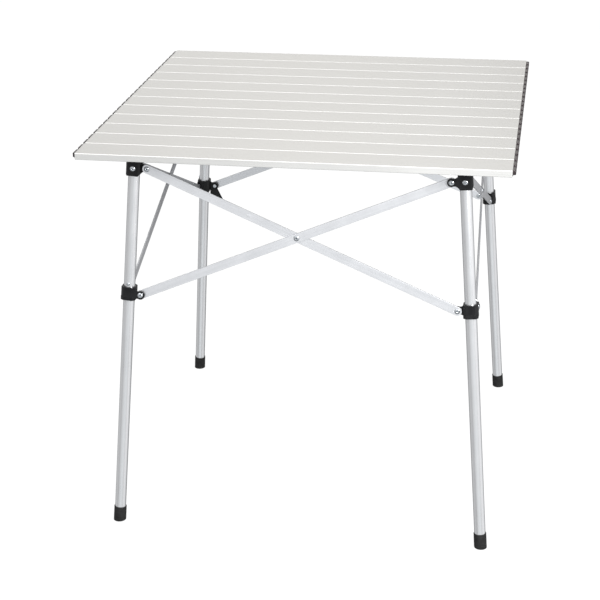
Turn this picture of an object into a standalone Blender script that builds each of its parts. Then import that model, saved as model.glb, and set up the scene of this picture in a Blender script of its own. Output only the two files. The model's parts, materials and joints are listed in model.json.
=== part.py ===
"""Folding camping table with a slatted roll-up top.

Twelve hollow aluminium slats lie along X on four plastic corner hubs. Each hub
holds a leg tube, and a plastic collar slides on each leg. Every side of the frame
is a scissor of two flat braces between the hubs and the collars. The corners and
the sides are four turns of one design about Z.
"""

import math

import bmesh
import bpy
from mathutils import Matrix, Vector

# Overall sizes, in metres
TABLE_HEIGHT = 0.690
HUB_INSET = 0.0810  # from a slat's end in to the leg's axis at its hub's pivot
LEG_SPLAY = 0.0484  # outward run of a leg's axis from there to the floor, along X and Y
FIT = 0.0003  # clearance between pieces that touch on the real table

# Slats: closed box extrusions with a web, open at both ends
SLAT_COUNT = 12
SLAT_LENGTH = 0.708
SLAT_WIDTH = 0.0577
SLAT_GAP = 0.00063
SLAT_THICKNESS = 0.011
SLAT_WALL = 0.0012
SLAT_ROUND = 0.0012

# Legs and feet
LEG_RADIUS = 0.00975
LEG_WALL = 0.0012
FOOT_RADIUS = 0.0110
FOOT_HEIGHT = 0.0265
FOOT_SOLE = 0.004

# Corner hubs
HUB_DROP = 0.0445  # of the pivot on the leg's axis below the top of the slats
HUB_BELOW_PIVOT = 0.0135
HUB_ABOVE_PIVOT = 0.0120
HUB_HALF = 0.0118
HUB_CHAMFER = 0.0030
HUB_EAR_RADIUS = 0.0070
HUB_ROOF = 0.0025  # solid plastic over the top of the leg
NECK_WIDTH = 0.0210
NECK_DEPTH = 0.0200
WING_REACH = 0.0240  # outward from the leg's axis
WING_THICKNESS = 0.0112
BELLY_DEPTH = 0.0160  # of the neck's bulge behind the wing, below the seat
BELLY_RADIUS = 0.00992
BELLY_DROP = 0.006944
BELLY_OFFSET = 0.0036
HUB_CORNER_CUT = 0.0039
HEAD_SINK = 0.0015  # of the neck into the hub's top

# Sliding collars
COLLAR_HEIGHT = 0.428  # of the point on the leg's axis
COLLAR_LENGTH = 0.0230
COLLAR_HALF = 0.0121
COLLAR_CHAMFER = 0.0044
COLLAR_EAR_RADIUS = 0.0075

# Ears, braces and rivets
EAR_REACH = 0.022  # from the leg's axis to a pivot
EAR_THICKNESS = 0.0038
EAR_ROOT = 0.0088  # half height of an ear where it leaves the body
BRACE_WIDTH = 0.0150
BRACE_THICKNESS = 0.0025
BRACE_GAP = 0.0005
LOW_END_PLAY = 0.0018  # between an outer brace and its collar's ear
PIN_RADIUS = 0.0024
RIVET_HEAD_RADIUS = 0.0047
RIVET_HEAD_HEIGHT = 0.0016
RIVET_TAIL_RADIUS = 0.0036
RIVET_TAIL_HEIGHT = 0.0010
LEG_RIVET_PIN_RADIUS = 0.0020
LEG_RIVET_TAIL_RADIUS = 0.0030

# Stop plate under one ear of the rear left collar
STOP_DROP = 0.036
STOP_NEAR = 0.0133
STOP_FAR = 0.0435

# Facets
ROUND_STEPS = 28
RIVET_STEPS = 14
HOLE_STEPS = 14
END_STEPS = 9

CORNERS = ("front_left", "front_right", "rear_right", "rear_left")
SIDES = ("front", "right", "rear", "left")

for old in list(bpy.data.objects):
    bpy.data.objects.remove(old, do_unlink=True)


def new_collection(name, parent):
    made = bpy.data.collections.new(name)
    parent.children.link(made)
    return made


table = new_collection("camping_table", bpy.context.scene.collection)
cutters = new_collection("cutters", bpy.context.scene.collection)
cutters.hide_render = True


def material(name, color, roughness, metallic):
    made = bpy.data.materials.new(name)
    made.use_nodes = True
    shader = made.node_tree.nodes["Principled BSDF"]
    shader.inputs["Base Color"].default_value = (*color, 1.0)
    shader.inputs["Roughness"].default_value = roughness
    shader.inputs["Metallic"].default_value = metallic
    made.diffuse_color = (*color, 1.0)
    return made


SLAT_PAINT = material("slat_aluminium", (0.72, 0.71, 0.68), 0.42, 0.85)
LEG_METAL = material("leg_aluminium", (0.74, 0.74, 0.76), 0.30, 0.95)
BRACE_METAL = material("brace_aluminium", (0.70, 0.71, 0.74), 0.38, 0.95)
RIVET_STEEL = material("rivet_steel", (0.66, 0.68, 0.70), 0.25, 1.0)
BLACK_PLASTIC = material("black_plastic", (0.012, 0.012, 0.013), 0.38, 0.0)
FOOT_RUBBER = material("foot_rubber", (0.012, 0.012, 0.012), 0.70, 0.0)


# Geometry that the corner and side pieces share

HUB_PIVOT_HEIGHT = TABLE_HEIGHT - HUB_DROP
HUB_SPREAD = SLAT_LENGTH / 2 - HUB_INSET  # the middle to a leg's axis, along X and Y
FOOT_SPREAD = HUB_SPREAD + LEG_SPLAY
LEG_LEAN = LEG_SPLAY / HUB_PIVOT_HEIGHT
LEAN_LENGTH = math.sqrt(1 + 2 * LEG_LEAN**2)
UP_LEG = Vector((LEG_LEAN, LEG_LEAN, 1)) / LEAN_LENGTH
FRONT_OUT = Vector((0, -1, LEG_LEAN)).normalized()
LEFT_OUT = Vector((-1, 0, LEG_LEAN)).normalized()
FRONT_ALONG = UP_LEG.cross(FRONT_OUT)  # from the leg towards the front right corner
LEFT_ALONG = LEFT_OUT.cross(UP_LEG)  # from the leg towards the rear left corner

# Depths outward from the plane of two legs' axes: inner ear, brace, brace, outer ear
OUTER_EAR_FACE = HUB_HALF
OUTER_EAR_BACK = OUTER_EAR_FACE - EAR_THICKNESS
OUTER_BRACE_FACE = OUTER_EAR_BACK - FIT
OUTER_BRACE_BACK = OUTER_BRACE_FACE - BRACE_THICKNESS
INNER_BRACE_FACE = OUTER_BRACE_BACK - BRACE_GAP
INNER_BRACE_BACK = INNER_BRACE_FACE - BRACE_THICKNESS
INNER_EAR_FACE = INNER_BRACE_BACK - FIT
INNER_EAR_BACK = INNER_EAR_FACE - EAR_THICKNESS
OUTER_HUB_EAR = (OUTER_EAR_BACK, OUTER_EAR_FACE)
OUTER_COLLAR_EAR = (OUTER_BRACE_FACE + LOW_END_PLAY, OUTER_EAR_FACE)
INNER_EAR = (INNER_EAR_BACK, INNER_EAR_FACE)

SEAT_HEIGHT = TABLE_HEIGHT - SLAT_THICKNESS - FIT
SOCKET_RADIUS = LEG_RADIUS + FIT


def leg_point(height):
    """The point of the front left leg's axis at a height."""
    inset = FOOT_SPREAD - LEG_LEAN * height
    return Vector((-inset, -inset, height))


def frame(x_axis, y_axis, z_axis, place):
    """The matrix that takes a piece's own axes to three directions at a place."""
    turned = Matrix((x_axis, y_axis, z_axis)).transposed()
    return Matrix.Translation(place) @ turned.to_4x4()


def turn(quarter):
    return Matrix.Rotation(quarter * math.pi / 2, 4, "Z")


def leg_frame(height):
    """Axes on the front left leg: z up the leg, x and y even about its diagonal."""
    place = leg_point(height)
    turned = Vector((0, 0, 1)).rotation_difference(UP_LEG).to_matrix()
    return Matrix.Translation(place) @ turned.to_4x4()


def front_frame(height, depth):
    """Axes in the front side's plane: x along the side, y up the leg, z outward."""
    return frame(FRONT_ALONG, UP_LEG, FRONT_OUT, leg_point(height) + FRONT_OUT * depth)


def left_frame(height, depth):
    """The same in the left side's plane, whose x runs along that side, z inward."""
    place = leg_point(height) + LEFT_OUT * depth
    return frame(LEFT_ALONG, UP_LEG, -LEFT_OUT, place)


# Shapes


def arc(x, y, radius, start, end, steps):
    """Points of an arc, by angles in degrees."""
    points = []
    for step in range(steps + 1):
        angle = math.radians(start + (end - start) * step / steps)
        points.append((x + radius * math.cos(angle), y + radius * math.sin(angle)))
    return points


def ring(x, y, radius, steps):
    return arc(x, y, radius, 0, 360, steps)[:-1]


def chamfered_square(half, chamfer):
    inner = half - chamfer
    return [
        (half, -inner),
        (half, inner),
        (inner, half),
        (-inner, half),
        (-half, inner),
        (-half, -inner),
        (-inner, -half),
        (inner, -half),
    ]


def keep_as_mesh(obj, matrix=None):
    """Turns an object with its modifiers into a plain welded mesh object."""
    bpy.context.view_layer.update()
    graph = bpy.context.evaluated_depsgraph_get()
    mesh = bpy.data.meshes.new_from_object(obj.evaluated_get(graph))
    work = bmesh.new()
    work.from_mesh(mesh)
    bmesh.ops.remove_doubles(work, verts=work.verts, dist=1e-7)
    bmesh.ops.transform(work, matrix=matrix or obj.matrix_world, verts=work.verts)
    bmesh.ops.recalc_face_normals(work, faces=work.faces)
    work.to_mesh(mesh)
    work.free()
    name = obj.name
    bpy.data.objects.remove(obj, do_unlink=True)
    made = bpy.data.objects.new(name, mesh)
    table.objects.link(made)
    return made


def plate(name, outlines, thickness, matrix):
    """A flat outline with its holes, as thick as given about the frame's z plane."""
    curve = bpy.data.curves.new(name, "CURVE")
    curve.dimensions = "2D"
    curve.fill_mode = "BOTH"
    curve.extrude = thickness / 2
    for outline in outlines:
        spline = curve.splines.new("POLY")
        spline.points.add(len(outline) - 1)
        for point, (x, y) in zip(spline.points, outline):
            point.co = (x, y, 0, 1)
        spline.use_cyclic_u = True
    obj = bpy.data.objects.new(name, curve)
    table.objects.link(obj)
    return keep_as_mesh(obj, matrix)


def turned(name, profile, steps, matrix):
    """A profile of (radius, height), top to bottom, turned about the frame's z axis."""
    mesh = bpy.data.meshes.new(name)
    points = [(radius, 0, height) for radius, height in profile]
    edges = [(i, i + 1) for i in range(len(points) - 1)]
    if profile[0][0] > 0:
        edges.append((len(points) - 1, 0))
    mesh.from_pydata(points, edges, [])
    obj = bpy.data.objects.new(name, mesh)
    table.objects.link(obj)
    screw = obj.modifiers.new("turn", "SCREW")
    screw.axis = "Z"
    screw.steps = steps
    screw.render_steps = steps
    screw.use_merge_vertices = True
    screw.merge_threshold = 0.00001
    return keep_as_mesh(obj, matrix)


def pin(name, radius, start, end, steps, matrix):
    """A cylinder along the frame's z axis."""
    mesh = bpy.data.meshes.new(name)
    work = bmesh.new()
    bmesh.ops.create_cone(
        work,
        cap_ends=True,
        segments=steps,
        radius1=radius,
        radius2=radius,
        depth=end - start,
        matrix=matrix @ Matrix.Translation((0, 0, (start + end) / 2)),
    )
    work.to_mesh(mesh)
    work.free()
    obj = bpy.data.objects.new(name, mesh)
    table.objects.link(obj)
    return obj


def combine(obj, other, operation):
    """Joins, cuts or intersects a piece with another shape by an exact Boolean."""
    other.hide_render = True
    other.display_type = "WIRE"
    table.objects.unlink(other)
    cutters.objects.link(other)
    boolean = obj.modifiers.new(other.name, "BOOLEAN")
    boolean.solver = "EXACT"
    boolean.operation = operation
    boolean.object = other
    return keep_as_mesh(obj)


def finish(obj, paint, smooth_angle=35):
    obj.data.materials.clear()
    obj.data.materials.append(paint)
    obj.data.shade_smooth()
    obj.data.set_sharp_from_angle(angle=math.radians(smooth_angle))
    return obj


def ear_outline(center_x, radius, root_x, root_half):
    """An ear with a round end, a short waist, and a foot that widens into the body."""
    waist = radius * 0.87
    waist_x = center_x - radius * 0.9
    points = arc(center_x, 0, radius, -120, 120, END_STEPS)
    points.append((waist_x, waist))
    points.append((root_x, root_half))
    points.append((root_x - EAR_THICKNESS, root_half))
    points.append((root_x - EAR_THICKNESS, -root_half))
    points.append((root_x, -root_half))
    points.append((waist_x, -waist))
    return points


def add_ears(body, height, half, radius, front_ear, left_ear):
    """Adds the two ears of a hub or collar, each given by its back and face depths."""
    outlines = [
        ear_outline(EAR_REACH, radius, half - FIT, EAR_ROOT),
        ring(EAR_REACH, 0, PIN_RADIUS + FIT, HOLE_STEPS),
    ]
    for side_frame, (back, face) in ((front_frame, front_ear), (left_frame, left_ear)):
        ear = plate("ear", outlines, face - back, side_frame(height, (back + face) / 2))
        body = combine(body, ear, "UNION")
    return body


def bore(body, radius, low, high):
    """Cuts a bore along the leg between two heights."""
    start = (low - HUB_PIVOT_HEIGHT) * LEAN_LENGTH
    end = (high - HUB_PIVOT_HEIGHT) * LEAN_LENGTH
    cutter = pin("bore", radius, start, end, ROUND_STEPS, leg_frame(HUB_PIVOT_HEIGHT))
    return combine(body, cutter, "DIFFERENCE")


def leg_rivet_frame(on_left):
    """Axes of the rivet through a hub and its leg: z outward from the leg's axis."""
    if on_left:
        return frame(UP_LEG, LEFT_OUT.cross(UP_LEG), LEFT_OUT, leg_point(HUB_PIVOT_HEIGHT))
    return frame(UP_LEG, FRONT_OUT.cross(UP_LEG), FRONT_OUT, leg_point(HUB_PIVOT_HEIGHT))


def rivet_hole(body, on_left):
    radius = LEG_RIVET_PIN_RADIUS + FIT
    end = HUB_HALF + LEG_WALL
    cutter = pin("rivet_hole", radius, 0, end, HOLE_STEPS, leg_rivet_frame(on_left))
    return combine(body, cutter, "DIFFERENCE")


LEG_TOP = HUB_PIVOT_HEIGHT + HUB_ABOVE_PIVOT - HUB_ROOF - FIT


def make_hub(on_left):
    """The front left hub. Its leg rivet is on the front, or on the left."""
    low = -HUB_BELOW_PIVOT * LEAN_LENGTH
    high = HUB_ABOVE_PIVOT * LEAN_LENGTH
    center = leg_frame(HUB_PIVOT_HEIGHT) @ Matrix.Translation((0, 0, (low + high) / 2))
    body = plate("hub", [chamfered_square(HUB_HALF, HUB_CHAMFER)], high - low, center)
    # Seen from each side, the lower corner towards the ear is cut off and the other rounded.
    cut = HUB_CORNER_CUT
    silhouette = [(HUB_HALF * 2, high * 2), (-HUB_HALF, high * 2)]
    silhouette += arc(-HUB_HALF + HUB_CHAMFER, low + HUB_CHAMFER, HUB_CHAMFER, 180, 270, 4)
    silhouette += [(HUB_HALF - cut, low), (HUB_HALF, low + cut), (HUB_HALF * 2, low + cut)]
    for side_frame in (front_frame, left_frame):
        shape = plate("silhouette", [silhouette], 0.1, side_frame(HUB_PIVOT_HEIGHT, 0))
        body = combine(body, shape, "INTERSECT")
    body = add_ears(
        body, HUB_PIVOT_HEIGHT, HUB_HALF, HUB_EAR_RADIUS, INNER_EAR, OUTER_HUB_EAR
    )
    # The neck carries the top, and its wing reaches outward under the slats.
    top_half = NECK_WIDTH / 2
    base = HUB_PIVOT_HEIGHT + HUB_ABOVE_PIVOT - HEAD_SINK
    wing_low = SEAT_HEIGHT - WING_THICKNESS
    outline = [(top_half, base), (top_half, SEAT_HEIGHT)]
    outline += [(-WING_REACH, SEAT_HEIGHT), (-WING_REACH, wing_low)]
    belly_x = -top_half - BELLY_OFFSET
    belly_z = SEAT_HEIGHT - BELLY_DROP
    outline += arc(belly_x, belly_z, BELLY_RADIUS, 205, 262, 6)
    outline += [(-top_half, SEAT_HEIGHT - BELLY_DEPTH), (-top_half, base)]
    middle = leg_point(SEAT_HEIGHT - WING_THICKNESS)
    head_frame = frame(
        Vector((1, 0, 0)), Vector((0, 0, 1)), Vector((0, -1, 0)), Vector((middle.x, middle.y, 0))
    )
    body = combine(body, plate("head", [outline], NECK_DEPTH, head_frame), "UNION")
    body = bore(body, SOCKET_RADIUS, 0.5 * HUB_PIVOT_HEIGHT, LEG_TOP + FIT)
    return finish(rivet_hole(body, on_left), BLACK_PLASTIC)


def make_collar(with_stop):
    half_length = COLLAR_LENGTH / 2 * LEAN_LENGTH
    outline = chamfered_square(COLLAR_HALF, COLLAR_CHAMFER)
    body = plate("collar", [outline], half_length * 2, leg_frame(COLLAR_HEIGHT))
    body = add_ears(
        body, COLLAR_HEIGHT, COLLAR_HALF, COLLAR_EAR_RADIUS, OUTER_COLLAR_EAR, INNER_EAR
    )
    if with_stop:
        slant = (STOP_FAR - EAR_REACH) / STOP_DROP
        near = EAR_REACH - COLLAR_EAR_RADIUS * 0.5
        stop = [
            (near, -COLLAR_EAR_RADIUS * 0.6),
            (STOP_NEAR, -COLLAR_EAR_RADIUS * 0.8),
            (STOP_NEAR, -STOP_DROP),
            (STOP_FAR, -STOP_DROP),
            (EAR_REACH + COLLAR_EAR_RADIUS * slant, -COLLAR_EAR_RADIUS * 0.6),
        ]
        depth = (INNER_EAR_FACE + INNER_EAR_BACK) / 2
        lug = plate("stop", [stop], EAR_THICKNESS, left_frame(COLLAR_HEIGHT, depth))
        body = combine(body, lug, "UNION")
    low = COLLAR_HEIGHT - COLLAR_LENGTH
    body = bore(body, SOCKET_RADIUS, low, COLLAR_HEIGHT + COLLAR_LENGTH)
    return finish(body, BLACK_PLASTIC)


def make_leg(on_left):
    low = (FOOT_SOLE + FIT) * LEAN_LENGTH
    high = LEG_TOP * LEAN_LENGTH
    inner = LEG_RADIUS - LEG_WALL
    profile = [(LEG_RADIUS, high), (LEG_RADIUS, low), (inner, low), (inner, high)]
    tube = turned("leg", profile, ROUND_STEPS, leg_frame(0))
    return finish(rivet_hole(tube, on_left), LEG_METAL)


def make_foot():
    """A rubber cup along the leg, whose sole is flat on the floor."""
    top = FOOT_HEIGHT * LEAN_LENGTH
    lip = FIT * 2
    below = -FOOT_SOLE
    seat = FOOT_SOLE * LEAN_LENGTH
    profile = [
        (0, seat),
        (SOCKET_RADIUS, seat),
        (SOCKET_RADIUS, top),
        (FOOT_RADIUS - lip, top),
        (FOOT_RADIUS, top - lip),
        (FOOT_RADIUS, below),
        (0, below),
    ]
    cup = turned("foot", profile, ROUND_STEPS, leg_frame(0))
    ground = plate(
        "ground",
        [[(-0.1, -0.1), (0.1, -0.1), (0.1, 0.1), (-0.1, 0.1)]],
        0.02,
        Matrix.Translation(leg_point(0) - Vector((0, 0, 0.01))),
    )
    return finish(combine(cup, ground, "DIFFERENCE"), FOOT_RUBBER)


def rivet_profile(pin_radius, face, end, tail_radius=None):
    """A domed head over a face, a pin down to its end, and a tail if it has one."""
    base = face + FIT
    dome = [
        (0.0, 0.4),
        (0.3, 0.95),
        (0.65, 0.85),
        (1.0, 0.0),
    ]
    profile = [(RIVET_HEAD_RADIUS * r, base + RIVET_HEAD_HEIGHT * h) for r, h in dome]
    profile.append((pin_radius, base))
    if tail_radius is None:
        return profile + [(pin_radius, end), (0.0, end)]
    low = end - FIT
    profile += [(pin_radius, low), (tail_radius, low)]
    profile += [(tail_radius, low - RIVET_TAIL_HEIGHT), (0.0, low - RIVET_TAIL_HEIGHT)]
    return profile


def make_rivet(name, profile, place):
    matrix = frame(FRONT_ALONG, UP_LEG, FRONT_OUT, place)
    return finish(turned(name, profile, RIVET_STEPS, matrix), RIVET_STEEL, 50)


def make_leg_rivet(on_left):
    face = HUB_HALF
    pin_end = math.sqrt((LEG_RADIUS - LEG_WALL) ** 2 - LEG_RIVET_TAIL_RADIUS**2)
    profile = rivet_profile(LEG_RIVET_PIN_RADIUS, face, pin_end, LEG_RIVET_TAIL_RADIUS)
    rivet = turned("leg_rivet", profile, RIVET_STEPS, leg_rivet_frame(on_left))
    return finish(rivet, RIVET_STEEL, 50)


def make_brace(start, end, back, face, holes):
    """A flat brace with round ends about two pivots, in the front side's plane."""
    along = (end - start).normalized()
    length = (end - start).length
    half = BRACE_WIDTH / 2
    outline = arc(0, 0, half, 90, 270, END_STEPS) + arc(length, 0, half, -90, 90, END_STEPS)
    outlines = [outline]
    for place in holes:
        outlines.append(ring(place, 0, PIN_RADIUS + FIT, HOLE_STEPS))
    across = FRONT_OUT.cross(along)
    matrix = frame(along, across, FRONT_OUT, start + FRONT_OUT * (back + face) / 2)
    return finish(plate("brace", outlines, face - back, matrix), BRACE_METAL)


def make_slat():
    """A box extrusion with a web along its middle, about the middle of its top."""
    half = SLAT_WIDTH / 2
    low = -SLAT_THICKNESS
    r = SLAT_ROUND
    outline = arc(half - r, -r, r, 90, 0, 3) + arc(half - r, low + r, r, 0, -90, 3)
    outline += arc(-half + r, low + r, r, 270, 180, 3) + arc(-half + r, -r, r, 180, 90, 3)
    outlines = [outline]
    for side in (-1, 1):
        near = side * SLAT_WALL / 2
        far = side * (half - SLAT_WALL)
        top = -SLAT_WALL
        bottom = low + SLAT_WALL
        outlines.append([(near, top), (far, top), (far, bottom), (near, bottom)])
    matrix = frame(Vector((0, 1, 0)), Vector((0, 0, 1)), Vector((1, 0, 0)), Vector((0, 0, 0)))
    return finish(plate("slat", outlines, SLAT_LENGTH, matrix), SLAT_PAINT)


# Pivots of the front side, in the plane of its legs' axes


def mirrored(point):
    return Vector((-point.x, point.y, point.z))


TOP_LEFT = leg_point(HUB_PIVOT_HEIGHT) + FRONT_ALONG * EAR_REACH
LOW_LEFT = leg_point(COLLAR_HEIGHT) + FRONT_ALONG * EAR_REACH
TOP_RIGHT = mirrored(TOP_LEFT)
LOW_RIGHT = mirrored(LOW_LEFT)
CROSSING_SHARE = TOP_LEFT.x / (TOP_LEFT.x - LOW_RIGHT.x)
CROSSING = TOP_LEFT.lerp(LOW_RIGHT, CROSSING_SHARE)
BRACE_LENGTH = (LOW_RIGHT - TOP_LEFT).length
UPPER_ARM = BRACE_LENGTH * CROSSING_SHARE


# Bodies: an empty on each joint's axis carries the pieces that move together


def body(name, place, parent=None):
    empty = bpy.data.objects.new(name, None)
    empty.empty_display_size = 0.02
    empty.location = place
    table.objects.link(empty)
    bpy.context.view_layer.update()
    if parent is not None:
        empty.parent = parent
        empty.matrix_parent_inverse = parent.matrix_world.inverted()
        bpy.context.view_layer.update()
    return empty


def place_piece(name, master, matrix, carrier):
    obj = bpy.data.objects.new(name, master.data)
    table.objects.link(obj)
    obj.parent = carrier
    obj.matrix_parent_inverse = carrier.matrix_world.inverted()
    obj.matrix_world = matrix
    return obj


masters = {
    "slat": make_slat(),
    "foot": make_foot(),
    "collar": make_collar(with_stop=False),
    "stop_collar": make_collar(with_stop=True),
    "inner": make_brace(
        TOP_LEFT, LOW_RIGHT, INNER_BRACE_BACK, INNER_BRACE_FACE, (0, UPPER_ARM, BRACE_LENGTH)
    ),
    "outer": make_brace(
        TOP_RIGHT, LOW_LEFT, OUTER_BRACE_BACK, OUTER_BRACE_FACE, (0, UPPER_ARM, BRACE_LENGTH)
    ),
    "inner_top": make_rivet(
        "inner_top",
        rivet_profile(PIN_RADIUS, INNER_BRACE_FACE, INNER_EAR_BACK, RIVET_TAIL_RADIUS),
        TOP_LEFT,
    ),
    "outer_top": make_rivet(
        "outer_top",
        rivet_profile(PIN_RADIUS, OUTER_EAR_FACE, OUTER_BRACE_BACK, RIVET_TAIL_RADIUS),
        TOP_RIGHT,
    ),
    "crossing": make_rivet(
        "crossing",
        rivet_profile(PIN_RADIUS, OUTER_BRACE_FACE, INNER_BRACE_BACK, RIVET_TAIL_RADIUS),
        CROSSING,
    ),
    "open_crossing": make_rivet(
        "open_crossing",
        rivet_profile(PIN_RADIUS, OUTER_BRACE_FACE, OUTER_BRACE_BACK),
        CROSSING,
    ),
    "inner_low": make_rivet(
        "inner_low",
        rivet_profile(PIN_RADIUS, INNER_BRACE_FACE, INNER_BRACE_BACK),
        LOW_RIGHT,
    ),
    "outer_low": make_rivet(
        "outer_low",
        rivet_profile(PIN_RADIUS, OUTER_EAR_FACE, OUTER_COLLAR_EAR[0]),
        LOW_LEFT,
    ),
}
for on_left in (False, True):
    masters["hub", on_left] = make_hub(on_left)
    masters["leg", on_left] = make_leg(on_left)
    masters["leg_rivet", on_left] = make_leg_rivet(on_left)

# Each corner hangs on the pivot that carries it; the front left corner stands still.
corner_places = (
    leg_point(0),
    TOP_RIGHT,
    turn(2) @ TOP_LEFT,
    turn(3) @ TOP_LEFT,
)
corners = [body(f"{CORNERS[i]}_corner", corner_places[i]) for i in range(4)]
collars = [
    body(f"{CORNERS[i]}_slide", turn(i) @ leg_point(COLLAR_HEIGHT), corners[i])
    for i in range(4)
]
inner_places = (TOP_LEFT, TOP_LEFT, CROSSING, CROSSING)
outer_places = (CROSSING, TOP_RIGHT, TOP_RIGHT, TOP_RIGHT)
inners = [body(f"{SIDES[k]}_inner", turn(k) @ inner_places[k]) for k in range(4)]
outers = [body(f"{SIDES[k]}_outer", turn(k) @ outer_places[k]) for k in range(4)]

for i, corner in enumerate(CORNERS):
    on_left = i in (1, 3)
    place_piece(f"{corner}_hub", masters["hub", on_left], turn(i), corners[i])
    place_piece(f"{corner}_leg", masters["leg", on_left], turn(i), corners[i])
    place_piece(f"{corner}_foot", masters["foot"], turn(i), corners[i])
    place_piece(f"{corner}_leg_rivet", masters["leg_rivet", on_left], turn(i), corners[i])
    kind = "stop_collar" if corner == "rear_left" else "collar"
    place_piece(f"{corner}_collar", masters[kind], turn(i), collars[i])

for k, side in enumerate(SIDES):
    left = k
    right = (k + 1) % 4
    opened = side == "right"
    place_piece(f"{side}_brace_inner", masters["inner"], turn(k), inners[k])
    place_piece(f"{side}_brace_outer", masters["outer"], turn(k), outers[k])
    place_piece(f"{side}_hub_rivet_inner", masters["inner_top"], turn(k), corners[left])
    place_piece(f"{side}_hub_rivet_outer", masters["outer_top"], turn(k), corners[right])
    place_piece(f"{side}_collar_rivet_inner", masters["inner_low"], turn(k), inners[k])
    place_piece(f"{side}_collar_rivet_outer", masters["outer_low"], turn(k), collars[left])
    crossing = masters["open_crossing"] if opened else masters["crossing"]
    carrier = outers[k] if opened else inners[k]
    place_piece(f"{side}_crossing_rivet", crossing, turn(k), carrier)

# Slats from front to rear; each hinges on the one before it at the top edge between them.
pitch = SLAT_WIDTH + SLAT_GAP
front_edge = -SLAT_COUNT * pitch / 2
for index in range(SLAT_COUNT):
    center = front_edge + (index + 0.5) * pitch
    slat = bpy.data.objects.new(f"slat_{index + 1:02d}", masters["slat"].data)
    table.objects.link(slat)
    slat.location = (0, center, TABLE_HEIGHT)

for master in masters.values():
    bpy.data.objects.remove(master, do_unlink=True)
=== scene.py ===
import json
import math
import bmesh
import bpy
from mathutils import Matrix, Vector


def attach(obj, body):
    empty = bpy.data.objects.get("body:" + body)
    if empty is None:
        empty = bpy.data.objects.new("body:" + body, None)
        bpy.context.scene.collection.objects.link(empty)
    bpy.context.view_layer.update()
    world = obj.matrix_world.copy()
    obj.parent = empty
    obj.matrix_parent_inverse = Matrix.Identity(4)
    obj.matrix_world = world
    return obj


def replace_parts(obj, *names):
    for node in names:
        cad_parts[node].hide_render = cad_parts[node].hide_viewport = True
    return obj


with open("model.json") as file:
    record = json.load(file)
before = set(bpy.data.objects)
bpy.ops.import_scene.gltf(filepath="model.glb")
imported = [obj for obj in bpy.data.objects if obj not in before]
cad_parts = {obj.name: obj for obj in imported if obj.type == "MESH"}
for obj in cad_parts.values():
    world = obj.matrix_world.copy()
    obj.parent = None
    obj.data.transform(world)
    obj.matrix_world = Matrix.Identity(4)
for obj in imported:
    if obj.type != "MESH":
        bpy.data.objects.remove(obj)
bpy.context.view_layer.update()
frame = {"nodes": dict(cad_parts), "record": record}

scene = bpy.context.scene
print("frame loaded:", len(frame["nodes"]), "solids")

cornerNames = ("front_left", "front_right", "rear_right", "rear_left")
sideNames = ("front", "right", "rear", "left")

# the lines that the frame is built on, the same numbers as the solids have, in metres
table = {
    "height": 0.690,
    "hubInset": 0.0810,
    "legSplay": 0.0484,
    "hubDrop": 0.0445,
    "collarHeight": 0.428,
    "earReach": 0.022,
    "slatLength": 0.708,
}
hubHeight = table["height"] - table["hubDrop"]
legLean = table["legSplay"] / hubHeight
footSpread = table["slatLength"] / 2 - table["hubInset"] + table["legSplay"]
leanLength = math.sqrt(1 + 2 * legLean**2)
upLeg = Vector((legLean, legLean, 1)) / leanLength
frontOut = Vector((0, -1, legLean)).normalized()
leftOut = Vector((-1, 0, legLean)).normalized()
frontAlong = upLeg.cross(frontOut)
leftAlong = leftOut.cross(upLeg)


def legPoint(height):
    inset = footSpread - legLean * height
    return Vector((-inset, -inset, height))


def quarterTurn(index):
    return Matrix.Rotation(index * math.pi / 2, 4, "Z")


def axesAt(xAxis, yAxis, zAxis, place):
    return Matrix.Translation(place) @ Matrix((xAxis, yAxis, zAxis)).transposed().to_4x4()


def frontAxes(place):
    return axesAt(frontAlong, upLeg, frontOut, place)


def legRivetAxes(onLeft):
    if onLeft:
        return axesAt(upLeg, leftOut.cross(upLeg), leftOut, legPoint(hubHeight))
    return axesAt(upLeg, frontOut.cross(upLeg), frontOut, legPoint(hubHeight))


def legAxes(height):
    turned = Vector((0, 0, 1)).rotation_difference(upLeg).to_matrix()
    return Matrix.Translation(legPoint(height)) @ turned.to_4x4()


topLeft = legPoint(hubHeight) + frontAlong * table["earReach"]
lowLeft = legPoint(table["collarHeight"]) + frontAlong * table["earReach"]
topRight = Vector((-topLeft.x, topLeft.y, topLeft.z))
lowRight = Vector((-lowLeft.x, lowLeft.y, lowLeft.z))
crossingShare = topLeft.x / (topLeft.x - lowRight.x)
crossing = topLeft.lerp(lowRight, crossingShare)


def linkObject(name, mesh, matrix=None):
    obj = bpy.data.objects.new(name, mesh)
    scene.collection.objects.link(obj)
    if matrix is not None:
        obj.matrix_world = matrix
    return obj


weldDistance = 1e-7


def meshFromBmesh(name, work):
    bmesh.ops.remove_doubles(work, verts=work.verts, dist=weldDistance)
    bmesh.ops.recalc_face_normals(work, faces=work.faces)
    mesh = bpy.data.meshes.new(name)
    work.to_mesh(mesh)
    work.free()
    return mesh


def joinedMesh(name, meshes):
    work = bmesh.new()
    for mesh in meshes:
        work.from_mesh(mesh)
        bpy.data.meshes.remove(mesh)
    return meshFromBmesh(name, work)


def softShade(mesh, degrees=38):
    mesh.shade_smooth()
    mesh.set_sharp_from_angle(angle=math.radians(degrees))
    return mesh


def arcPoints(x, y, radius, start, end, steps):
    points = []
    for step in range(steps + 1):
        angle = math.radians(start + (end - start) * step / steps)
        points.append((x + radius * math.cos(angle), y + radius * math.sin(angle)))
    return points


def circlePoints(x, radius, steps):
    return arcPoints(x, 0, radius, 0, 360, steps)[:-1]


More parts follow.
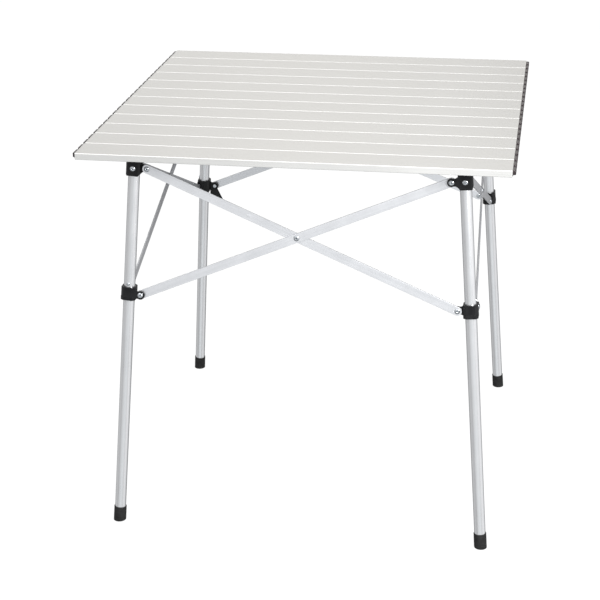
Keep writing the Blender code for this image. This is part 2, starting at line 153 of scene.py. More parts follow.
def roundedBox(width, height, radius, steps=4):
    points = []
    for cornerX, cornerY, start in ((1, 1, 0), (-1, 1, 90), (-1, -1, 180), (1, -1, 270)):
        x = cornerX * (width / 2 - radius)
        y = cornerY * (height / 2 - radius)
        points += arcPoints(x, y, radius, start, start + 90, steps)
    return points


def roundedPlate(name, outlines, thickness, edge):
    # a flat outline with holes, whose rims are rounded all the way round
    curve = bpy.data.curves.new(name, "CURVE")
    curve.dimensions = "2D"
    curve.fill_mode = "BOTH"
    curve.extrude = thickness / 2 - edge
    curve.bevel_depth = edge
    curve.bevel_resolution = 2
    curve.offset = -edge
    for outline in outlines:
        spline = curve.splines.new("POLY")
        spline.points.add(len(outline) - 1)
        for point, (x, y) in zip(spline.points, outline):
            point.co = (x, y, 0, 1)
        spline.use_cyclic_u = True
    source = linkObject(name, curve)
    bpy.context.view_layer.update()
    graph = bpy.context.evaluated_depsgraph_get()
    raw = bpy.data.meshes.new_from_object(source.evaluated_get(graph))
    bpy.data.objects.remove(source, do_unlink=True)
    return joinedMesh(name, [raw])


def turnedMesh(name, profile, steps):
    # a profile of (radius, height) turned about z; a radius of 0 closes it
    work = bmesh.new()
    rings = []
    for radius, height in profile:
        if radius == 0:
            rings.append([work.verts.new((0, 0, height))])
            continue
        rings.append([])
        for step in range(steps):
            angle = 2 * math.pi * step / steps
            place = (radius * math.cos(angle), radius * math.sin(angle), height)
            rings[-1].append(work.verts.new(place))
    pairs = list(zip(rings, rings[1:]))
    if profile[0][0] > 0:
        pairs.append((rings[-1], rings[0]))
    for one, two in pairs:
        for step in range(steps):
            after = (step + 1) % steps
            corners = [one[step % len(one)], two[step % len(two)]]
            if len(two) > 1:
                corners.append(two[after])
            if len(one) > 1:
                corners.append(one[after])
            work.faces.new(corners)
    return meshFromBmesh(name, work)


def newMaterial(name):
    made = bpy.data.materials.new(name)
    made.use_nodes = True
    nodes = made.node_tree.nodes
    return made, nodes, made.node_tree.links, nodes["Principled BSDF"]


def noise(nodes, links, stretch, scale, detail=3.0):
    coords = nodes.new("ShaderNodeTexCoord")
    mapping = nodes.new("ShaderNodeMapping")
    mapping.inputs["Scale"].default_value = stretch
    links.new(coords.outputs["Object"], mapping.inputs["Vector"])
    node = nodes.new("ShaderNodeTexNoise")
    node.inputs["Scale"].default_value = scale
    node.inputs["Detail"].default_value = detail
    links.new(mapping.outputs["Vector"], node.inputs["Vector"])
    return node.outputs["Fac"]


def blendValues(nodes, links, one, two, share):
    node = nodes.new("ShaderNodeMix")
    node.data_type = "FLOAT"
    node.inputs["Factor"].default_value = share
    links.new(one, node.inputs["A"])
    links.new(two, node.inputs["B"])
    return node.outputs["Result"]


# the part of a noise's values that runs from one colour or number to the other
colorSpan = (0.32, 0.68)
numberSpan = (0.3, 0.7)


def colorBetween(nodes, links, value, darker, lighter):
    node = nodes.new("ShaderNodeValToRGB")
    low, high = node.color_ramp.elements
    low.position, high.position = colorSpan
    low.color = (*darker, 1.0)
    high.color = (*lighter, 1.0)
    links.new(value, node.inputs["Fac"])
    return node.outputs["Color"]


def valueBetween(nodes, links, value, low, high):
    node = nodes.new("ShaderNodeMapRange")
    node.inputs["From Min"].default_value = numberSpan[0]
    node.inputs["From Max"].default_value = numberSpan[1]
    node.inputs["To Min"].default_value = low
    node.inputs["To Max"].default_value = high
    links.new(value, node.inputs["Value"])
    return node.outputs["Result"]


def addBump(nodes, links, shader, value, strength, distance):
    bump = nodes.new("ShaderNodeBump")
    bump.inputs["Strength"].default_value = strength
    bump.inputs["Distance"].default_value = distance
    links.new(value, bump.inputs["Height"])
    links.new(bump.outputs["Normal"], shader.inputs["Normal"])


metalRelief = 0.0003
plasticRelief = 0.0002
# lines are fine marks from drawing or rolling, clouds are soft patches of tone
metals = {
    "satinSlat": {
        "darker": (0.600, 0.595, 0.580),
        "lighter": (0.640, 0.635, 0.620),
        "roughness": (0.34, 0.44),
        "metallic": 0.85,
        "lines": (4.0, 900.0, 900.0),
        "clouds": 7.0,
        "cloudShare": 0.45,
        "bump": 0.04,
    },
    "drawnTube": {
        "darker": (0.595, 0.60, 0.61),
        "lighter": (0.635, 0.64, 0.65),
        "roughness": (0.26, 0.34),
        "metallic": 0.9,
        "lines": (500.0, 500.0, 3.0),
        "clouds": 22.0,
        "cloudShare": 0.5,
        "bump": 0.012,
    },
    "rolledBrace": {
        "darker": (0.590, 0.597, 0.615),
        "lighter": (0.640, 0.647, 0.665),
        "roughness": (0.32, 0.42),
        "metallic": 0.85,
        "lines": (3.0, 500.0, 500.0),
        "clouds": 30.0,
        "cloudShare": 0.5,
        "bump": 0.02,
    },
    "brightRivet": {
        "darker": (0.36, 0.38, 0.40),
        "lighter": (0.52, 0.54, 0.56),
        "roughness": (0.16, 0.26),
        "metallic": 1.0,
        "lines": (400.0, 400.0, 400.0),
        "clouds": 160.0,
        "cloudShare": 0.5,
        "bump": 0.08,
    },
}


def makeMetal(name):
    spec = metals[name]
    made, nodes, links, shader = newMaterial(name)
    lines = noise(nodes, links, spec["lines"], 1.0, 4.0)
    clouds = noise(nodes, links, (1, 1, 1), spec["clouds"])
    both = blendValues(nodes, links, lines, clouds, spec["cloudShare"])
    color = colorBetween(nodes, links, both, spec["darker"], spec["lighter"])
    links.new(color, shader.inputs["Base Color"])
    links.new(valueBetween(nodes, links, both, *spec["roughness"]), shader.inputs["Roughness"])
    shader.inputs["Metallic"].default_value = spec["metallic"]
    addBump(nodes, links, shader, lines, spec["bump"], metalRelief)
    return made


plastics = {
    "mouldedHub": {
        "darker": (0.0035, 0.0035, 0.004),
        "lighter": (0.0075, 0.0075, 0.008),
        "roughness": (0.26, 0.40),
        "shine": 0.18,
        "grain": 1600.0,
        "clouds": 70.0,
        "bump": 0.12,
    },
    "footRubber": {
        "darker": (0.006, 0.006, 0.006),
        "lighter": (0.014, 0.014, 0.014),
        "roughness": (0.50, 0.70),
        "shine": 0.15,
        "grain": 800.0,
        "clouds": 90.0,
        "bump": 0.25,
    },
    "plugPlastic": {
        "darker": (0.010, 0.007, 0.008),
        "lighter": (0.020, 0.015, 0.016),
        "roughness": (0.14, 0.22),
        "shine": 0.30,
        "grain": 1500.0,
        "clouds": 120.0,
        "bump": 0.12,
    },
}


def makePlastic(name):
    spec = plastics[name]
    made, nodes, links, shader = newMaterial(name)
    grain = noise(nodes, links, (1, 1, 1), spec["grain"], 2.0)
    clouds = noise(nodes, links, (1, 1, 1), spec["clouds"])
    color = colorBetween(nodes, links, clouds, spec["darker"], spec["lighter"])
    links.new(color, shader.inputs["Base Color"])
    links.new(valueBetween(nodes, links, clouds, *spec["roughness"]), shader.inputs["Roughness"])
    shader.inputs["Specular IOR Level"].default_value = spec["shine"]
    addBump(nodes, links, shader, grain, spec["bump"], plasticRelief)
    return made


satinSlat = makeMetal("satinSlat")
drawnTube = makeMetal("drawnTube")
rolledBrace = makeMetal("rolledBrace")
brightRivet = makeMetal("brightRivet")
mouldedHub = makePlastic("mouldedHub")
footRubber = makePlastic("footRubber")
plugPlastic = makePlastic("plugPlastic")
print("materials made")

bodyOf = {}
for bodyName, nodeNames in frame["record"]["behaviour"]["bodies"].items():
    for nodeName in nodeNames:
        bodyOf[nodeName] = bodyName


def addPiece(name, mesh, matrix, body, paint):
    if not mesh.materials:
        mesh.materials.append(paint)
    piece = linkObject(name, mesh, matrix)
    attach(piece, body)
    return piece


def replaceNode(name, mesh, matrix, node, paint):
    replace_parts(addPiece(name, mesh, matrix, bodyOf[node], paint), node)


slat = {
    "count": 12,
    "pitch": 0.05833,
    "width": 0.0577,
    "thickness": 0.011,
    "bareLeft": 0.3492,  # from the middle to the aluminium's ends, inside the plugs
    "bareRight": 0.3486,
    "frontRound": 0.0010,  # the soft front edge that catches the light
    "rearRound": 0.0007,
    "lowRound": 0.0008,
    "flatStart": 0.0003,
}


def slatOutline():
    half = slat["width"] / 2
    low = -slat["thickness"]
    front, rear, under = slat["frontRound"], slat["rearRound"], slat["lowRound"]
    arcs = (
        arcPoints(half - rear, -rear, rear, 0, 90, 5),
        arcPoints(-half + front, -front, front, 90, 180, 8),
        arcPoints(-half + under, low + under, under, 180, 270, 3),
        arcPoints(half - under, low + under, under, 270, 360, 3),
    )
    points = []
    for arc, following in zip(arcs, arcs[1:] + arcs[:1]):
        # a point close to each arc's end keeps the flat faces flat in the shading
        gap = Vector(following[0]) - Vector(arc[-1])
        step = gap.normalized() * slat["flatStart"]
        points += arc + [Vector(arc[-1]) + step, Vector(following[0]) - step]
    return points


def extrudedAlongX(name, outline, start, end):
    work = bmesh.new()
    first = [work.verts.new((start, y, z)) for y, z in outline]
    last = [work.verts.new((end, y, z)) for y, z in outline]
    count = len(outline)
    for i in range(count):
        after = (i + 1) % count
        work.faces.new((first[i], first[after], last[after], last[i]))
    work.faces.new(first)
    work.faces.new(last[::-1])
    return softShade(meshFromBmesh(name, work))


slatEnds = {"Left": -slat["bareLeft"], "Right": slat["bareRight"]}
slatMesh = extrudedAlongX("slatBar", slatOutline(), slatEnds["Left"], slatEnds["Right"])
slatPlaces = []
for index in range(slat["count"]):
    place = Vector((0, (index + 0.5 - slat["count"] / 2) * slat["pitch"], table["height"]))
    slatPlaces.append(place)
    name = f"slatBar{index + 1:02d}"
    node = f"slat_{index + 1:02d}"
    replaceNode(name, slatMesh, Matrix.Translation(place), node, satinSlat)
print("slats made")

# each plug is a thin plate over the slat's end with two tongues that stand out of it
plug = {
    "plate": 0.0010,
    "plateInset": 0.0012,
    "plateCorner": 0.0022,
    "plateEdge": 0.0003,
    "reach": {"Left": 0.0048, "Right": 0.0054},
    "tongueWidth": 0.0226,
    "tongueHeight": 0.0068,
    "tongueSink": 0.0011,  # of the tongues' tops under the slat's top
    "tongueOffset": 0.0144,
    "tongueCorner": 0.0026,  # of its free corners, seen from above
    "tongueEdge": 0.0007,
}


def tongueOutline(reach):
    half, corner = plug["tongueWidth"] / 2, plug["tongueCorner"]
    points = [(0, -half)] + arcPoints(reach - corner, -half + corner, corner, -90, 0, 5)
    return points + arcPoints(reach - corner, half - corner, corner, 0, 90, 5) + [(0, half)]


def plugMesh(end):
    inset = 2 * plug["plateInset"]
    width, height = slat["width"] - inset, slat["thickness"] - inset
    outline = roundedBox(width, height, plug["plateCorner"])
    plate = roundedPlate("plate", [outline], plug["plate"], plug["plateEdge"])
    ahead, along, up = Vector((1, 0, 0)), Vector((0, 1, 0)), Vector((0, 0, 1))
    plate.transform(axesAt(along, up, ahead, ahead * plug["plate"] / 2))
    parts = [plate]
    lift = slat["thickness"] / 2 - plug["tongueSink"] - plug["tongueHeight"] / 2
    for side in (-1, 1):
        outline = tongueOutline(plug["reach"][end])
        tongue = roundedPlate("tongue", [outline], plug["tongueHeight"], plug["tongueEdge"])
        tongue.transform(Matrix.Translation((0, side * plug["tongueOffset"], lift)))
        parts.append(tongue)
    return softShade(joinedMesh(f"plug{end}", parts), 40)


for end, sign in (("Left", -1), ("Right", 1)):
    mesh = plugMesh(end)
    for index, place in enumerate(slatPlaces):
        middle = place + Vector((slatEnds[end], 0, -slat["thickness"] / 2))
        matrix = Matrix.Translation(middle) @ quarterTurn(0 if sign > 0 else 2)
        body = f"slat_{index + 1:02d}"
        addPiece(f"plug{end}{index + 1:02d}", mesh, matrix, body, plugPlastic)
print("end plugs made")

leg = {
    "radius": 0.00975,
    "wall": 0.0012,
    "bottom": 0.0043,
    "top": 0.65470,
    "rim": 0.0003,
    "steps": 64,
}


def legTubeMesh():
    high = leg["top"] * leanLength
    low = leg["bottom"] * leanLength
    outer, rim = leg["radius"], leg["rim"]
    inner = outer - leg["wall"]
    profile = [
        (inner, high),
        (outer - rim, high),
        (outer, high - rim),
        (outer, low + rim),
        (outer - rim, low),
        (inner, low),
    ]
    return softShade(turnedMesh("legTube", profile, leg["steps"]), 40)


foot = {
    "radius": 0.0110,
    "height": 0.0265,
    "sole": 0.004,
    "groove": 0.0004,
    "clearance": 0.0001,
    # down from the rim, where the cup's round edge and its upper groove are
    "rimInset": (0.0007, 0.0002),
    "rimDrop": (0.0003, 0.0008),
    "upperGroove": (0.0030, 0.0034, 0.0046, 0.0050),
    # up from the floor, the lower groove
    "lowerGroove": (0.0062, 0.0058, 0.0050, 0.0046),
    "cutBelow": 0.004,
    "steps": 56,
}


def footCapMesh():
    # a rubber cup with two fine grooves; it is turned about the leg and cut level with the floor
    top = foot["height"] * leanLength
    seat = foot["sole"] * leanLength
    outer, inner = foot["radius"], leg["radius"] + foot["clearance"]
    sunk = outer - foot["groove"]
    profile = [
        (0, seat),
        (inner, seat),
        (inner, top),
        (outer - foot["rimInset"][0], top),
        (outer - foot["rimInset"][1], top - foot["rimDrop"][0]),
        (outer, top - foot["rimDrop"][1]),
    ]
    grooveSides = (outer, sunk, sunk, outer)
    profile += [(side, top - drop) for side, drop in zip(grooveSides, foot["upperGroove"])]
    profile += list(zip(grooveSides, foot["lowerGroove"]))
    profile += [(outer, -foot["cutBelow"]), (0, -foot["cutBelow"])]
    mesh = turnedMesh("footCap", profile, foot["steps"])
    work = bmesh.new()
    work.from_mesh(mesh)
    bpy.data.meshes.remove(mesh)
    bmesh.ops.transform(work, matrix=legAxes(0), verts=work.verts)
    everything = work.verts[:] + work.edges[:] + work.faces[:]
    cut = bmesh.ops.bisect_plane(
        work, geom=everything, plane_co=(0, 0, 0), plane_no=(0, 0, 1), clear_inner=True
    )
    rim = [item for item in cut["geom_cut"] if isinstance(item, bmesh.types.BMEdge)]
    bmesh.ops.contextual_create(work, geom=rim)
    return softShade(meshFromBmesh("footCap", work), 35)


# the spring button that holds a collar up, with its dished middle
button = {
    "height": 0.4449,
    "radius": 0.0030,
    "proud": 0.0014,
    "rooted": 0.0008,
    "shape": ((0.0, 0.80), (0.35, 0.90), (0.62, 1.0), (0.84, 0.82), (0.97, 0.45), (1.0, 0.0)),
    "steps": 28,
}
buttonProfile = [(button["radius"] * r, button["proud"] * h) for r, h in button["shape"]]
buttonProfile += [(button["radius"], -button["rooted"]), (0, -button["rooted"])]
buttonMesh = softShade(turnedMesh("legButton", buttonProfile, button["steps"]), 60)
buttonPlace = legPoint(button["height"]) + frontOut * leg["radius"]

legMesh = legTubeMesh()
footMesh = footCapMesh()
for index, corner in enumerate(cornerNames):
    turn = quarterTurn(index)
    replaceNode(f"legTube_{corner}", legMesh, turn @ legAxes(0), f"{corner}_leg", drawnTube)
    standing = footMesh.copy()
    standing.transform(turn)
    replaceNode(f"footCap_{corner}", standing, None, f"{corner}_foot", footRubber)
    matrix = turn @ frontAxes(buttonPlace)
    addPiece(f"legButton_{corner}", buttonMesh, matrix, f"{corner}_corner", brightRivet)
print("legs and feet made")

# depths outward from the plane through two legs' axes
depths = {
    "earFace": 0.0118,
    "collarEarBack": 0.0095,
    "outerBraceFace": 0.0077,
    "outerBraceBack": 0.0052,
    "innerBraceFace": 0.0047,
    "innerBraceBack": 0.0022,
    "innerEarBack": -0.0019,
}
brace = {
    "width": 0.0150,
    "edge": 0.0004,
    "hole": 0.0027,
    "markAt": 0.185,  # along the inner brace from its hub, a faint pressed oval
    "markRadius": 0.0028,
    "markProud": 0.00022,
    "markRooted": 0.0003,
    "markStretch": (1.5, 0.8, 1, 1),
}
domeShape = ((0.0, 1.0), (0.35, 0.94), (0.65, 0.76), (0.88, 0.42), (1.0, 0.0))


def braceMesh(name, start, end, back, face):
    length = (end - start).length
    half = brace["width"] / 2
    outlines = [arcPoints(0, 0, half, 90, 270, 18) + arcPoints(length, 0, half, -90, 90, 18)]
    for place in (0, length * crossingShare, length):
        outlines.append(circlePoints(place, brace["hole"], 24))
    plate = roundedPlate(name, outlines, face - back, brace["edge"])
    return softShade(plate, 12)  # sharp at the rims, so that the flat faces stay flat


def braceMatrix(start, end, back, face):
    along = (end - start).normalized()
    middle = start + frontOut * (back + face) / 2
    return axesAt(along, frontOut.cross(along), frontOut, middle)


innerSpan = (topLeft, lowRight, depths["innerBraceBack"], depths["innerBraceFace"])
outerSpan = (topRight, lowLeft, depths["outerBraceBack"], depths["outerBraceFace"])
innerMesh = braceMesh("braceInner", *innerSpan)
outerMesh = braceMesh("braceOuter", *outerSpan)
markProfile = [(brace["markRadius"] * r, brace["markProud"] * h) for r, h in domeShape]
markProfile.append((0, -brace["markRooted"]))
markMesh = softShade(turnedMesh("braceMark", markProfile, 24), 60)
innerAlong = (lowRight - topLeft).normalized()
markPlace = topLeft + innerAlong * brace["markAt"] + frontOut * depths["innerBraceFace"]
markMatrix = axesAt(innerAlong, frontOut.cross(innerAlong), frontOut, markPlace)
markMatrix = markMatrix @ Matrix.Diagonal(brace["markStretch"])
for index, side in enumerate(sideNames):
    turn = quarterTurn(index)
    for kind, mesh, span in (("inner", innerMesh, innerSpan), ("outer", outerMesh, outerSpan)):
        matrix = turn @ braceMatrix(*span)
        replaceNode(f"brace_{side}_{kind}", mesh, matrix, f"{side}_brace_{kind}", rolledBrace)
    addPiece(f"braceMark_{side}", markMesh, turn @ markMatrix, f"{side}_inner", rolledBrace)
print("braces made")

rivet = {
    "headRadius": 0.0047,
    "headHeight": 0.0016,
    "pinRadius": 0.0024,
    "tailRadius": 0.0036,
    "tailHeight": 0.0010,
    "legPinRadius": 0.0020,
    "legTailRadius": 0.0030,
    "gap": 0.00012,
    "steps": 40,
    # from the sunk middle to the rim, as shares of the head's radius and height
    "headShape": (
        (0.0, -0.95),
        (0.12, -1.0),
        (0.20, -1.15),
        (0.23, 0.86),
        (0.30, 1.0),
        (0.50, 0.97),
        (0.68, 0.84),
        (0.84, 0.60),
        (0.95, 0.30),
        (1.0, 0.10),
        (1.0, 0.0),
    ),
    # from the rim to the middle of the closed end, with depths as shares of its height
    "tailShape": ((1.0, 0.0), (1.0, 0.55), (0.8, 0.92), (0.5, 1.0), (0.3, 0.8), (0.0, 0.75)),
}


def tailPoints(radius, face):
    low = face - rivet["gap"]
    return [(radius * r, low - rivet["tailHeight"] * h) for r, h in rivet["tailShape"]]


def headPoints(pinRadius, face):
    base = face + rivet["gap"]
    points = [(rivet["headRadius"] * r, base + rivet["headHeight"] * h) for r, h in rivet["headShape"]]
    return points + [(pinRadius, base)]


def rivetMesh(name, profile):
    return softShade(turnedMesh(name, profile, rivet["steps"]), 42)


def wholeRivet(name, face, back, pinRadius=rivet["pinRadius"], tailRadius=rivet["tailRadius"]):
    pinEnd = (pinRadius, back - rivet["gap"])
    return rivetMesh(name, headPoints(pinRadius, face) + [pinEnd] + tailPoints(tailRadius, back))


def tailessRivet(name, face, end):
    radius = rivet["pinRadius"]
    return rivetMesh(name, headPoints(radius, face) + [(radius, end), (0, end)])


def rivetTail(name, face):
    return rivetMesh(name, [(0, face - rivet["gap"])] + tailPoints(rivet["tailRadius"], face))


crossingRivet = wholeRivet("crossing", depths["outerBraceFace"], depths["innerBraceBack"])
openCrossing = tailessRivet("openCrossing", depths["outerBraceFace"], depths["outerBraceBack"])
rivetKinds = {
    "hub_rivet_inner": (wholeRivet("hubInner", depths["innerBraceFace"], depths["innerEarBack"]), topLeft),
    "hub_rivet_outer": (wholeRivet("hubOuter", depths["earFace"], depths["outerBraceBack"]), topRight),
    "crossing_rivet": (crossingRivet, crossing),
    "collar_rivet_inner": (
        tailessRivet("collarInner", depths["innerBraceFace"], depths["innerBraceBack"]),
        lowRight,
    ),
    "collar_rivet_outer": (
        tailessRivet("collarOuter", depths["earFace"], depths["collarEarBack"]),
        lowLeft,
    ),
}
# the closed ends of the rivets that the frame's opened pivots leave with the other piece
innerTail = rivetTail("innerTail", depths["innerEarBack"])
outerTail = rivetTail("outerTail", depths["outerBraceBack"])
crossingTail = rivetTail("crossingTail", depths["innerBraceBack"])
for index, side in enumerate(sideNames):
    turn = quarterTurn(index)
    for kind, (mesh, place) in rivetKinds.items():
        node = f"{side}_{kind}"
        shown = openCrossing if node == "right_crossing_rivet" else mesh
        replaceNode(f"rivet_{node}", shown, turn @ frontAxes(place), node, brightRivet)
    slide = f"{cornerNames[(index + 1) % 4]}_slide"
    matrix = turn @ frontAxes(lowRight)
    addPiece(f"rivetTailInner_{side}", innerTail, matrix, slide, brightRivet)
    matrix = turn @ frontAxes(lowLeft)
    addPiece(f"rivetTailOuter_{side}", outerTail, matrix, f"{side}_outer", brightRivet)
matrix = quarterTurn(1) @ frontAxes(crossing)
addPiece("rivetTailCrossing", crossingTail, matrix, "right_inner", brightRivet)

legPinEnd = math.sqrt((leg["radius"] - leg["wall"]) ** 2 - rivet["legTailRadius"] ** 2)
legRivetMesh = wholeRivet(
    "legRivet", depths["earFace"], legPinEnd, rivet["legPinRadius"], rivet["legTailRadius"]
)
for index, corner in enumerate(cornerNames):
    matrix = quarterTurn(index) @ legRivetAxes(index in (1, 3))
    node = f"{corner}_leg_rivet"
    replaceNode(f"rivet_{node}", legRivetMesh, matrix, node, brightRivet)
print("rivets made")

# hubs and collars keep their solid's form, with soft edges, ribs, a frame and a band added
moulding = {
    "edge": 0.00055,
    "edgeSteps": 2,
    "edgeAngle": 32,
    "weld": 1e-6,
    "flatAngle": 0.6,  # degrees between faces that are made one
    "ribCount": 6,
    "ribWidth": 0.0009,
    "ribProud": 0.0005,
    "ribPitch": 0.0031,
    "neckDepth": 0.0200,
    "neckMiddle": 0.6675,  # where the neck's middle is on the leg's line
    "neckLow": 0.6595,
    "neckHigh": 0.6780,
    "hubHalf": 0.0118,
    "panel": (0.0160, 0.0165),
    "panelLine": 0.0008,
    "panelProud": 0.00035,
    "panelCorner": 0.0030,
    "collarHalf": 0.0121,
    "collarChamfer": 0.0044,
    "collarLength": 0.0230,
    "bandHeight": 0.0066,
    "bandProud": 0.0004,
    "bandClearance": 0.0004,
    "bandEdge": 0.0003,
}


def mouldedCopy(node):
    mesh = frame["nodes"][node].data.copy()
    work = bmesh.new()
    work.from_mesh(mesh)
    bmesh.ops.remove_doubles(work, verts=work.verts, dist=moulding["weld"])
    flatAngle = math.radians(moulding["flatAngle"])
    bmesh.ops.dissolve_limit(
        work, angle_limit=flatAngle, verts=work.verts, edges=work.edges, delimit=set()
    )
    work.to_mesh(mesh)
    work.free()
    mesh.materials.clear()
    mesh.materials.append(mouldedHub)
    softShade(mesh, 40)
    piece = linkObject(f"moulded_{node}", mesh)
    bevel = piece.modifiers.new("softEdge", "BEVEL")
    bevel.width = moulding["edge"]
    bevel.segments = moulding["edgeSteps"]
    bevel.limit_method = "ANGLE"
    bevel.angle_limit = math.radians(moulding["edgeAngle"])
    bevel.use_clamp_overlap = True
    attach(piece, bodyOf[node])
    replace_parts(piece, node)


def neckRibMesh():
    height = moulding["neckHigh"] - moulding["neckLow"]
    outline = roundedBox(moulding["ribWidth"], height, moulding["ribWidth"] * 0.45, 3)
    bars = []
    for rib in range(moulding["ribCount"]):
        proud = moulding["ribProud"]
        bar = roundedPlate("rib", [outline], proud * 2, proud * 0.5)
        x = (rib - (moulding["ribCount"] - 1) / 2) * moulding["ribPitch"]
        bar.transform(Matrix.Translation((x, 0, 0)))
        bars.append(bar)
    return softShade(joinedMesh("neckRibs", bars), 40)


def hubPanelMesh():
    width, height = moulding["panel"]
    line, proud = moulding["panelLine"], moulding["panelProud"]
    corner = moulding["panelCorner"]
    outer = roundedBox(width, height, corner, 5)
    inner = roundedBox(width - 2 * line, height - 2 * line, corner - line, 5)
    return softShade(roundedPlate("hubPanel", [outer, inner], proud * 2, proud * 0.5), 40)


def collarBandMesh():
    half = moulding["collarHalf"] + moulding["bandProud"]
    flat = half - moulding["collarChamfer"]
    outer = [(half, -flat), (half, flat), (flat, half), (-flat, half)]
    outer += [(-half, flat), (-half, -flat), (-flat, -half), (flat, -half)]
    hole = circlePoints(0, leg["radius"] + moulding["bandClearance"], 48)
    mesh = roundedPlate("collarBand", [outer, hole], moulding["bandHeight"], moulding["bandEdge"])
    low = (moulding["bandHeight"] - moulding["collarLength"]) / 2
    mesh.transform(Matrix.Translation((0, 0, low)))
    return softShade(mesh, 40)


ribMesh = neckRibMesh()
panelMesh = hubPanelMesh()
bandMesh = collarBandMesh()
neckPlace = legPoint(moulding["neckMiddle"])
ribHeight = (moulding["neckLow"] + moulding["neckHigh"]) / 2
for index, corner in enumerate(cornerNames):
    turn = quarterTurn(index)
    body = f"{corner}_corner"
    mouldedCopy(f"{corner}_hub")
    mouldedCopy(f"{corner}_collar")
    for face, sign in (("Outer", -1), ("Inner", 1)):
        place = Vector((neckPlace.x, neckPlace.y + sign * moulding["neckDepth"] / 2, ribHeight))
        facing = axesAt(Vector((-sign, 0, 0)), Vector((0, 0, 1)), Vector((0, sign, 0)), place)
        name = f"neckRibs{face}_{corner}"
        addPiece(name, ribMesh, turn @ facing, body, mouldedHub)
    place = legPoint(hubHeight) + (leftOut if index in (1, 3) else frontOut) * moulding["hubHalf"]
    facing = legRivetAxes(index in (1, 3))
    facing.translation = place
    addPiece(f"hubPanel_{corner}", panelMesh, turn @ facing, body, mouldedHub)
    matrix = turn @ legAxes(table["collarHeight"])
    addPiece(f"collarBand_{corner}", bandMesh, matrix, f"{corner}_slide", mouldedHub)
print("hubs and collars made")

studio = {
    "floorColor": (0.05, 0.05, 0.05),
    "floorGlow": 0.96,
    "floorReach": 60.0,
    "floorRoughness": 0.95,
    "floorDrop": 0.0006,
    "skyBase": 0.22,
    # degrees round from the front towards the right, degrees up, half its spread, strength, tint
    "glows": (
        (0, 90, 48, 1.9, "plain"),
        (0, 50, 48, 1.1, "plain"),
        (300, 50, 48, 1.1, "plain"),
        (333, 15, 48, 0.77, "plain"),
        (60, -20, 48, 0.19, "plain"),
        (90, -20, 48, 0.75, "plain"),
        (270, -20, 48, 0.54, "plain"),
        (20, -25, 30, 0.74, "cool"),
        (345, -40, 30, 0.69, "cool"),
        (190, 22, 20, 0.99, "warm"),
    ),
    "tints": {"plain": (0.985, 0.99, 1.0), "warm": (1.0, 0.98, 0.94), "cool": (0.94, 0.98, 1.0)},
    "glowCore": 4,  # degrees from a glow's middle where it is full
    "keyPlace": (1.3, -1.5, 1.3),
    "keyAim": (0, 0, 0.5),
    "keySize": 0.8,
    "keyPower": 93.0,
}


def skyDirection(around, above):
    turn, rise = math.radians(around), math.radians(above)
    level = math.cos(rise)
    return Vector((math.sin(turn) * level, -math.cos(turn) * level, math.sin(rise)))


def makeFloor():
    work = bmesh.new()
    bmesh.ops.create_grid(work, x_segments=1, y_segments=1, size=studio["floorReach"])
    mesh = meshFromBmesh("floor", work)
    made, nodes, links, shader = newMaterial("paleFloor")
    shader.inputs["Base Color"].default_value = (*studio["floorColor"], 1.0)
    shader.inputs["Roughness"].default_value = studio["floorRoughness"]
    shader.inputs["Specular IOR Level"].default_value = 0.0
    shader.inputs["Emission Color"].default_value = (1.0, 1.0, 1.0, 1.0)
    shader.inputs["Emission Strength"].default_value = studio["floorGlow"]
    mesh.materials.append(made)
    floor = linkObject("floor", mesh, Matrix.Translation((0, 0, -studio["floorDrop"])))
    floor.visible_glossy = False  # the metal mirrors the studio instead of the floor's glare
    floor.visible_diffuse = False
    floor.visible_shadow = False


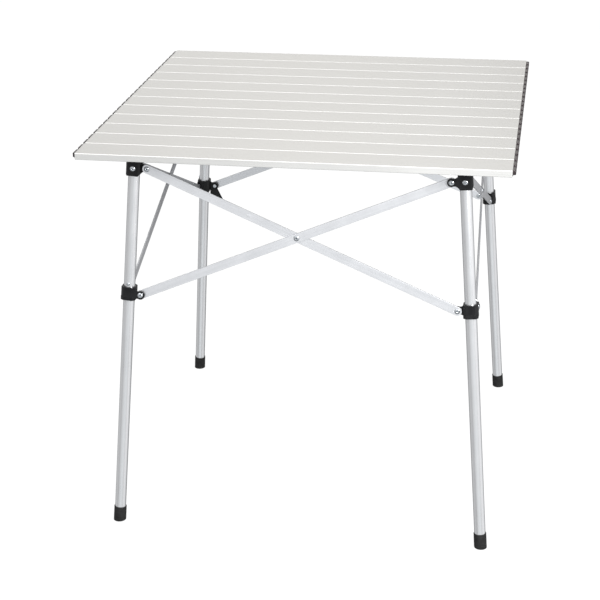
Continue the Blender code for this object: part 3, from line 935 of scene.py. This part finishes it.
def makeStudioSky():
    sky = bpy.data.worlds.new("studioSky")
    scene.world = sky
    sky.use_nodes = True
    nodes, links = sky.node_tree.nodes, sky.node_tree.links
    coords = nodes.new("ShaderNodeTexCoord")
    total = None
    for around, above, spread, strength, tint in studio["glows"]:
        toward = nodes.new("ShaderNodeVectorMath")
        toward.operation = "DOT_PRODUCT"
        toward.inputs[1].default_value = skyDirection(around, above)
        links.new(coords.outputs["Generated"], toward.inputs[0])
        glow = nodes.new("ShaderNodeMapRange")
        glow.interpolation_type = "SMOOTHSTEP"
        glow.inputs["From Min"].default_value = math.cos(math.radians(spread))
        glow.inputs["From Max"].default_value = math.cos(math.radians(studio["glowCore"]))
        glow.inputs["To Min"].default_value = 0.0
        glow.inputs["To Max"].default_value = strength
        links.new(toward.outputs["Value"], glow.inputs["Value"])
        tinted = nodes.new("ShaderNodeVectorMath")
        tinted.operation = "SCALE"
        tinted.inputs[0].default_value = studio["tints"][tint]
        links.new(glow.outputs["Result"], tinted.inputs["Scale"])
        add = nodes.new("ShaderNodeVectorMath")
        add.operation = "ADD"
        links.new(tinted.outputs["Vector"], add.inputs[0])
        if total is None:
            add.inputs[1].default_value = Vector(studio["tints"]["plain"]) * studio["skyBase"]
        else:
            links.new(total, add.inputs[1])
        total = add.outputs["Vector"]
    background = nodes["Background"]
    background.inputs["Strength"].default_value = 1.0
    links.new(total, background.inputs["Color"])


def makeKeyLight():
    light = bpy.data.lights.new("keyLight", "AREA")
    light.shape = "DISK"
    light.size = studio["keySize"]
    light.energy = studio["keyPower"]
    lamp = linkObject("keyLight", light)
    lamp.location = studio["keyPlace"]
    aim = Vector(studio["keyAim"]) - lamp.location
    lamp.rotation_euler = aim.to_track_quat("-Z", "Y").to_euler()


camera = {
    "place": (0.4041, -2.6277, 1.4263),
    "yaw": 0.1691,
    "pitch": 0.3976,
    "roll": -0.0117,
    "focal": 92.44,  # millimetres, as the sensor's width
    "sensor": 36.0,
}


def makeCamera():
    lens = bpy.data.cameras.new("photoCamera")
    lens.sensor_width = camera["sensor"]
    lens.lens = camera["focal"]
    yaw, pitch, roll = camera["yaw"], camera["pitch"], camera["roll"]
    level = Vector((-math.sin(yaw), math.cos(yaw), 0))
    forward = level * math.cos(pitch) - Vector((0, 0, math.sin(pitch)))
    right = Vector((math.cos(yaw), math.sin(yaw), 0))
    up = right.cross(forward)
    tiltedRight = right * math.cos(roll) + up * math.sin(roll)
    tiltedUp = up * math.cos(roll) - right * math.sin(roll)
    viewer = linkObject("photoCamera", lens)
    viewer.matrix_world = axesAt(tiltedRight, tiltedUp, -forward, Vector(camera["place"]))
    scene.camera = viewer


makeFloor()
makeStudioSky()
makeKeyLight()
makeCamera()
scene.view_settings.view_transform = "Standard"
print("studio made")
